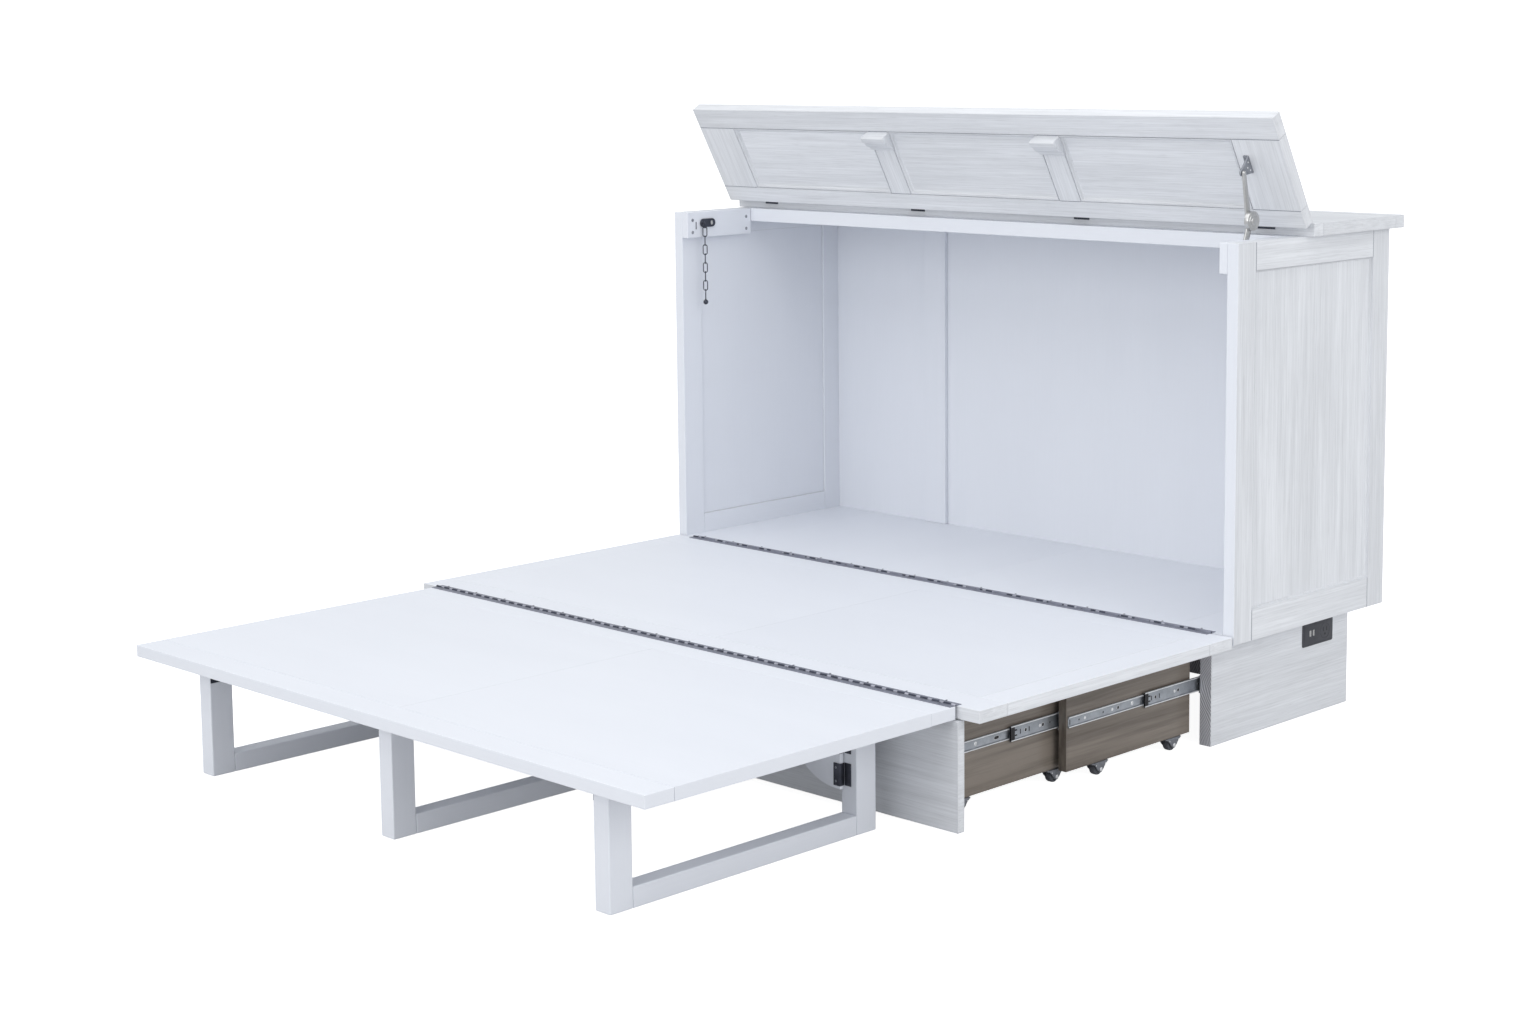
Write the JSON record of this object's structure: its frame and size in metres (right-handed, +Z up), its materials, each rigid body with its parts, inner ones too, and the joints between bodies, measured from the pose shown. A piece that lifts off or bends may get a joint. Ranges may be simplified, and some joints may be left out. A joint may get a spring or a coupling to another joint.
{
  "type": "cabinet wall bed",
  "caption": "Low cabinet whose front unfolds forward in two hinged panels on folding sled legs to make a bed platform, with a two-stage drawer, lid with stay, and power outlet.",
  "frame": {"origin": "on the floor, under the middle of the opened bed's bounding box", "axes": "+Z up, -Y towards the foot of the bed, +X to the right as seen from the foot of the bed"},
  "size_m": [1.644, 2.082, 1.2734],
  "materials": {
    "whitewashed_wood": "whitewashed fine straight grain, satin",
    "white_painted_wood": "cool white paint over board, satin",
    "brown_stained_wood": "taupe brown stain, satin",
    "dark_steel": "dark gunmetal, satin",
    "zinc_steel": "galvanised",
    "satin_nickel": "satin nickel",
    "slate_plastic": "matt slate grey",
    "grey_wheel": "grey rubber"
  },
  "bodies": {
    "cabinet": {"side_frame_left": "whitewashed_wood", "side_frame_right": "whitewashed_wood", "side_insets": "whitewashed_wood", "back_panel": "white_painted_wood", "deck_boards": "white_painted_wood", "fixed_top": "whitewashed_wood", "header_rail": "white_painted_wood", "stop_blocks": "white_painted_wood", "plinth_boards": "whitewashed_wood", "outlet_plate": "slate_plastic", "base_slides": "zinc_steel", "deck_hinge_leaf": "dark_steel", "top_hinge_leaves": "dark_steel", "chain_eye": "dark_steel", "block_screws": "zinc_steel", "stay_foot": "satin_nickel"},
    "lid": {"lid_frame": "whitewashed_wood", "lid_inset": "whitewashed_wood", "lid_keepers": "whitewashed_wood", "lid_hinge_leaves": "dark_steel", "lid_stay_bracket": "satin_nickel"},
    "stay_lower": {"stay_lower_arm": "satin_nickel"},
    "stay_upper": {"stay_upper_arm": "satin_nickel"},
    "front_panel": {"front_panel_frame": "whitewashed_wood", "front_panel_boards": "white_painted_wood", "front_panel_leaves": "dark_steel"},
    "foot_panel": {"foot_panel_frame": "white_painted_wood", "foot_panel_boards": "white_painted_wood", "foot_panel_leaf": "dark_steel", "foot_panel_plates": "dark_steel"},
    "right_leg": {"leg_right": "white_painted_wood", "leg_right_leaves": "dark_steel"},
    "middle_leg": {"leg_middle": "white_painted_wood", "leg_middle_leaves": "dark_steel"},
    "left_leg": {"leg_left": "white_painted_wood", "leg_left_leaves": "dark_steel"},
    "right_brace": {"brace_right": "white_painted_wood"},
    "middle_brace": {"brace_middle": "white_painted_wood"},
    "left_brace": {"brace_left": "white_painted_wood"},
    "carriage": {"carriage_boards": "brown_stained_wood", "carriage_slides": "zinc_steel", "carriage_casters": "zinc_steel"},
    "drawer": {"drawer_front": "whitewashed_wood", "drawer_sides": "brown_stained_wood", "drawer_back": "brown_stained_wood", "drawer_bottom": "brown_stained_wood", "drawer_slides": "zinc_steel", "drawer_casters": "zinc_steel"},
    "carriage_slide_middle": {"carriage_mid_slides": "zinc_steel"},
    "drawer_slide_middle": {"drawer_mid_slides": "zinc_steel"},
    "drawer_wheel_front_left_body": {"drawer_wheel_front_left": "grey_wheel"},
    "drawer_wheel_front_right_body": {"drawer_wheel_front_right": "grey_wheel"},
    "drawer_wheel_rear_left_body": {"drawer_wheel_rear_left": "grey_wheel"},
    "drawer_wheel_rear_right_body": {"drawer_wheel_rear_right": "grey_wheel"},
    "carriage_wheel_front_left_body": {"carriage_wheel_front_left": "grey_wheel"},
    "carriage_wheel_front_right_body": {"carriage_wheel_front_right": "grey_wheel"},
    "carriage_wheel_rear_left_body": {"carriage_wheel_rear_left": "grey_wheel"},
    "carriage_wheel_rear_right_body": {"carriage_wheel_rear_right": "grey_wheel"},
    "chain_top": {"chain_upper": "dark_steel"},
    "chain_end": {"chain_lower": "dark_steel"}
  },
  "joints": [
    {"name": "deck_fold", "type": "hinge", "parent": "cabinet", "child": "front_panel", "pos_m": [0, 0.474, 0.2454], "axis": [-1, 0, 0], "range_deg": [0, 90]},
    {"name": "foot_fold", "type": "hinge", "parent": "front_panel", "child": "foot_panel", "pos_m": [0, -0.296, 0.2454], "axis": [-1, 0, 0], "range_deg": [0, 180]},
    {"name": "lid_fold", "type": "hinge", "parent": "cabinet", "child": "lid", "pos_m": [0, 0.706, 1.051], "axis": [1, 0, 0], "range_deg": [0, 61]},
    {"name": "stay_foot_pivot", "type": "hinge", "parent": "cabinet", "child": "stay_lower", "pos_m": [0.747, 0.559, 0.964], "axis": [1, 0, 0], "range_deg": [-50.3, 0]},
    {"name": "stay_elbow_pivot", "type": "hinge", "parent": "stay_lower", "child": "stay_upper", "pos_m": [0.742, 0.595, 1.056], "axis": [1, 0, 0], "range_deg": [0, 134.8]},
    {"name": "right_leg_fold", "type": "hinge", "parent": "foot_panel", "child": "right_leg", "pos_m": [0.566, -0.671, 0.217], "axis": [0, 1, 0], "range_deg": [0, 90]},
    {"name": "middle_leg_fold", "type": "hinge", "parent": "foot_panel", "child": "middle_leg", "pos_m": [-0.022, -0.671, 0.217], "axis": [0, 1, 0], "range_deg": [0, 90]},
    {"name": "left_leg_fold", "type": "hinge", "parent": "foot_panel", "child": "left_leg", "pos_m": [-0.566, -0.671, 0.217], "axis": [0, -1, 0], "range_deg": [0, 90]},
    {"name": "right_brace_fold", "type": "hinge", "parent": "foot_panel", "child": "right_brace", "pos_m": [0.51, -0.4168, 0.217], "axis": [-1, 0, 0], "range_deg": [0, 90]},
    {"name": "middle_brace_fold", "type": "hinge", "parent": "foot_panel", "child": "middle_brace", "pos_m": [-0.078, -0.4168, 0.217], "axis": [-1, 0, 0], "range_deg": [0, 90]},
    {"name": "left_brace_fold", "type": "hinge", "parent": "foot_panel", "child": "left_brace", "pos_m": [-0.51, -0.4168, 0.217], "axis": [-1, 0, 0], "range_deg": [0, 90]},
    {"name": "carriage_slide", "type": "slide", "parent": "cabinet", "child": "carriage", "axis": [0, 1, 0], "range_m": [0, 0.413]},
    {"name": "drawer_slide", "type": "slide", "parent": "carriage", "child": "drawer", "axis": [0, 1, 0], "range_m": [0, 0.3805]},
    {"name": "carriage_middle_slide", "type": "slide", "parent": "cabinet", "child": "carriage_slide_middle", "axis": [0, 1, 0], "range_m": [0, 0.2065]},
    {"name": "drawer_middle_slide", "type": "slide", "parent": "carriage", "child": "drawer_slide_middle", "axis": [0, 1, 0], "range_m": [0, 0.19025]},
    {"name": "drawer_wheel_front_left_spin", "type": "hinge", "parent": "drawer", "child": "drawer_wheel_front_left_body", "pos_m": [-0.6455, -0.173, 0.0125], "axis": [1, 0, 0], "continuous": true},
    {"name": "drawer_wheel_front_right_spin", "type": "hinge", "parent": "drawer", "child": "drawer_wheel_front_right_body", "pos_m": [0.6455, -0.173, 0.0125], "axis": [1, 0, 0], "continuous": true},
    {"name": "drawer_wheel_rear_left_spin", "type": "hinge", "parent": "drawer", "child": "drawer_wheel_rear_left_body", "pos_m": [-0.6455, 0.103, 0.0125], "axis": [1, 0, 0], "continuous": true},
    {"name": "drawer_wheel_rear_right_spin", "type": "hinge", "parent": "drawer", "child": "drawer_wheel_rear_right_body", "pos_m": [0.6455, 0.103, 0.0125], "axis": [1, 0, 0], "continuous": true},
    {"name": "carriage_wheel_front_left_spin", "type": "hinge", "parent": "carriage", "child": "carriage_wheel_front_left_body", "pos_m": [-0.6765, 0.2, 0.0125], "axis": [1, 0, 0], "continuous": true},
    {"name": "carriage_wheel_front_right_spin", "type": "hinge", "parent": "carriage", "child": "carriage_wheel_front_right_body", "pos_m": [0.6765, 0.2, 0.0125], "axis": [1, 0, 0], "continuous": true},
    {"name": "carriage_wheel_rear_left_spin", "type": "hinge", "parent": "carriage", "child": "carriage_wheel_rear_left_body", "pos_m": [-0.6765, 0.437, 0.0125], "axis": [1, 0, 0], "continuous": true},
    {"name": "carriage_wheel_rear_right_spin", "type": "hinge", "parent": "carriage", "child": "carriage_wheel_rear_right_body", "pos_m": [0.6765, 0.437, 0.0125], "axis": [1, 0, 0], "continuous": true},
    {"name": "chain_swing", "type": "hinge", "parent": "cabinet", "child": "chain_top", "pos_m": [-0.748, 0.522, 0.988], "axis": [1, 0, 0], "range_deg": [-60, 60]},
    {"name": "chain_bend", "type": "hinge", "parent": "chain_top", "child": "chain_end", "pos_m": [-0.748, 0.522, 0.9027], "axis": [1, 0, 0], "range_deg": [-60, 60]}
  ],
  "couplings": [
    {"joint": "stay_foot_pivot", "follows": "lid_fold", "ratio": -0.82127},
    {"joint": "stay_elbow_pivot", "follows": "lid_fold", "ratio": 2.207},
    {"joint": "carriage_middle_slide", "follows": "carriage_slide", "ratio": 0.5},
    {"joint": "drawer_middle_slide", "follows": "drawer_slide", "ratio": 0.5}
  ]
}
